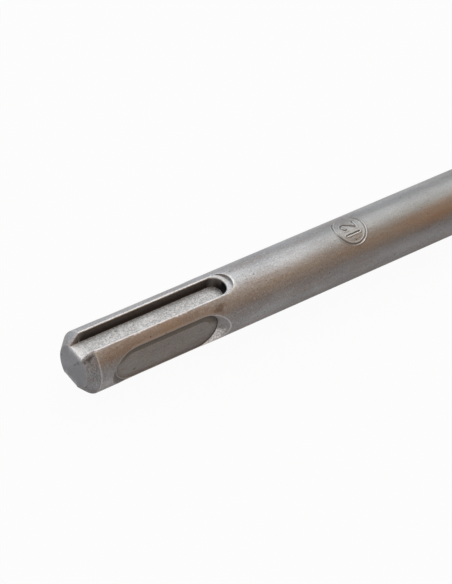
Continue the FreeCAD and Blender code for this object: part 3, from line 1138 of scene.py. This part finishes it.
    def paint_worn_and_lit_edges(self):
        """Bare metal and painted highlight on the outward edges and round the chamfer's edge."""
        rim = self.product(self.band(self.x, (1.56, 1.7), (1.9, 1.76)), 0.75)
        edges = self.math("MAXIMUM", self.attribute("wear_and_highlight"), rim)
        self.worn_and_lit = self.product(edges, (self.grain, 0.3, 0.6, 0.3, 0.85))
        self.paint(WORN_AND_LIT_EDGE, 1, self.worn_and_lit)

    def finish(self):
        """Roughness, relief and the shader."""
        rough = self.ramp(self.cloudy, 0.3, 0.7, 0.4, 0.49)
        rough = self.math("ADD", rough, self.product(self.rough_shaded_patch, 0.25))
        rough = self.math("SUBTRACT", rough, self.product(self.worn_and_lit, 0.1))
        rough = self.math("SUBTRACT", rough, self.ramp(self.x, 35, 58, 0, 0.06))
        fine_grain = self.noise(self.mm, 11, 2, 0.7)
        relief = self.math("ADD", self.product(self.grain, 0.7), self.product(fine_grain, 0.3))
        relief = self.math("SUBTRACT", relief, self.product(self.pits, 0.6))
        # Less metallic under the last ramp's painted highlight.
        metallic = self.math("SUBTRACT", 1, self.product(self.ramp_highlight, 0.4))
        self.metal(self.colour, rough, relief, 0.55, 0.00011, metallic)


def steel_material():
    material = bpy.data.materials.new("blasted_steel")
    nodes = SteelNodes(material)
    nodes.paint_steel()
    nodes.paint_grain()
    nodes.paint_marks()
    nodes.paint_struck_end()
    nodes.paint_slot_floors()
    nodes.paint_pockets()
    nodes.paint_pits_scale_and_shade()
    nodes.paint_stamp()
    nodes.paint_worn_and_lit_edges()
    nodes.finish()
    return material


CARBIDE = ((0.24, 0.24, 0.25), (0.32, 0.32, 0.33))


def carbide_material():
    """Ground carbide: dark satin, with fine grinding lines across the plate."""
    material = bpy.data.materials.new("ground_carbide")
    nodes = Nodes(material)
    mm = nodes.millimetres()
    lines = nodes.noise(nodes.stretched(mm, (9, 0.5, 9)), 1, 2)
    cloudy = nodes.noise(mm, 0.6, 3)
    colour = nodes.mix((cloudy, 0.3, 0.7), *CARBIDE)
    nodes.metal(colour, nodes.ramp(lines, 0.3, 0.7, 0.24, 0.38), lines, 0.25, 0.00004)
    return material


body = make_body()
mesh_points = positions(body.data)
shade = np.maximum(slot_shade(mesh_points), pocket_shade(mesh_points))
set_attribute(body.data, "wear_and_highlight", edge_wear_and_highlight(body.data))
set_attribute(body.data, "shade", shade)
set_attribute(body.data, "stamp_lighting", stamp_light_and_shade(mesh_points))
body.data.materials.clear()
body.data.materials.append(steel_material())
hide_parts("steel_body")
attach(body, "root")

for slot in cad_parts["carbide_tip"].material_slots:
    slot.material = carbide_material()

FLOOR_HALF_SIZE = 3.0
FLOOR_COLOUR = (0.6, 0.62, 0.66)
FLOOR_GLOW = 0.95


def make_floor():
    """A wide pale floor at the height on which the bit lies.

    It is white in the picture. Reflections show it white behind the bit and dim close in front.
    """
    mesh = bpy.data.meshes.new("floor")
    sides = ((-1, -1), (1, -1), (1, 1), (-1, 1))
    corners = [(a * FLOOR_HALF_SIZE, b * FLOOR_HALF_SIZE, cad_low.z) for a, b in sides]
    mesh.from_pydata(corners, [], [(0, 1, 2, 3)])
    floor = new_object("floor", mesh)
    material = bpy.data.materials.new("pale_floor")
    nodes = Nodes(material)
    diffuse = nodes.add("ShaderNodeBsdfDiffuse", {"Color": FLOOR_COLOUR})
    glow = nodes.add("ShaderNodeEmission", {"Color": grey(1.0)})
    path = nodes.add("ShaderNodeLightPath").outputs
    place = nodes.add("ShaderNodeTexCoord").outputs["Object"]
    y = nodes.add("ShaderNodeSeparateXYZ", {0: place}).outputs["Y"]
    behind = nodes.ramp(y, -0.01, 0.05)
    beside = nodes.ramp(y, -0.024, -0.006, 0.0, 0.2)
    reflected = nodes.math("ADD", path["Is Glossy Ray"], path["Is Transmission Ray"])
    reflected = nodes.product(reflected, nodes.math("MAXIMUM", behind, beside))
    share = nodes.math("MAXIMUM", nodes.product(path["Is Camera Ray"], FLOOR_GLOW), reflected)
    shaders = {0: share, 1: diffuse.outputs[0], 2: glow.outputs[0]}
    mix = nodes.add("ShaderNodeMixShader", shaders)
    nodes.add("ShaderNodeOutputMaterial", {0: mix.outputs[0]})
    mesh.materials.append(material)


# The room's colours from the horizon, 0, up to the zenith, 1.
FRONT_ROOM = (
    (0.0, (0.045, 0.04, 0.04)),
    (0.15, (0.08, 0.06, 0.05)),
    (0.36, (0.60, 0.40, 0.26)),
    (0.8, (0.50, 0.35, 0.24)),
    (1.0, (0.60, 0.50, 0.42)),
)
BACK_ROOM = (
    (0.0, (0.8, 0.82, 0.88)),
    (0.2, (0.62, 0.64, 0.7)),
    (0.4, (0.66, 0.68, 0.74)),
    (0.62, (0.99, 1.0, 1.0)),
)
WINDOW_DIRECTION = (-0.387, -0.857, 0.327)


def make_world():
    """A bright studio behind and above the bit, and a warm dim room with a window in front."""
    world = bpy.data.worlds.new("studio")
    bpy.context.scene.world = world
    nodes = Nodes(world)
    direction = nodes.add("ShaderNodeTexCoord").outputs["Generated"]
    parts = nodes.add("ShaderNodeSeparateXYZ", {0: direction}).outputs
    front = nodes.colours(parts["Z"], FRONT_ROOM)
    back = nodes.colours(parts["Z"], BACK_ROOM)
    towards = {0: direction, 1: WINDOW_DIRECTION}
    window = nodes.add("ShaderNodeVectorMath", towards, operation="DOT_PRODUCT").outputs["Value"]
    front = nodes.mix((window, 0.88, 0.96), front, grey(1.0))
    room = nodes.mix((parts["Y"], -0.18, 0.22), front, back)
    path = nodes.add("ShaderNodeLightPath")
    colour = nodes.mix(path.outputs["Is Camera Ray"], room, grey(1.0))
    background = nodes.add("ShaderNodeBackground", {"Color": colour, "Strength": 1.0})
    nodes.add("ShaderNodeOutputWorld", {0: background.outputs[0]})


LAMP_AIM = Vector((0.05, 0, 0))
LAMP_DIRECTION = Vector((0.51, 0.33, 0.79))
LAMP_DISTANCE = 0.9
LAMP_SIZE = (0.7, 0.36)
LAMP_WATTS = 1.55


def make_lamp():
    data = bpy.data.lights.new("key", "AREA")
    data.shape = "RECTANGLE"
    data.size, data.size_y = LAMP_SIZE
    data.energy = LAMP_WATTS
    place = LAMP_AIM + LAMP_DIRECTION.normalized() * LAMP_DISTANCE
    lamp = new_object("key", data)
    lamp.location = place
    lamp.rotation_mode = "QUATERNION"
    lamp.rotation_quaternion = (LAMP_AIM - place).to_track_quat("-Z", "Y")


# The photograph was taken upright, and the bit lay turned about its axis under the camera.
CAMERA_PLACE = (-156.043, -236.097, 199.544)
CAMERA_AZIMUTH = math.radians(-38.05)
CAMERA_ELEVATION = math.radians(33.45)
BIT_TURN = math.radians(15.0)
PHOTO_FOCAL_PIXELS = 2336.59
PHOTO_HEIGHT_PIXELS = 584
SENSOR_LONG_SIDE = 36.0


def make_camera():
    back = Vector((
        math.sin(CAMERA_AZIMUTH) * math.cos(CAMERA_ELEVATION),
        -math.cos(CAMERA_AZIMUTH) * math.cos(CAMERA_ELEVATION),
        math.sin(CAMERA_ELEVATION),
    ))
    data = bpy.data.cameras.new("camera")
    data.sensor_width = SENSOR_LONG_SIDE
    data.lens = PHOTO_FOCAL_PIXELS * SENSOR_LONG_SIDE / PHOTO_HEIGHT_PIXELS
    data.clip_start = 0.01
    data.clip_end = 20.0
    camera = new_object("camera", data)
    aimed = (-back).to_track_quat("-Z", "Y").to_matrix().to_4x4()
    upright = Matrix.Translation(Vector(CAMERA_PLACE) * MM) @ aimed
    camera.matrix_world = Matrix.Rotation(-BIT_TURN, 4, "X") @ upright
    bpy.context.scene.camera = camera


make_floor()
make_world()
make_camera()
make_lamp()
bpy.context.scene.view_settings.view_transform = "Standard"
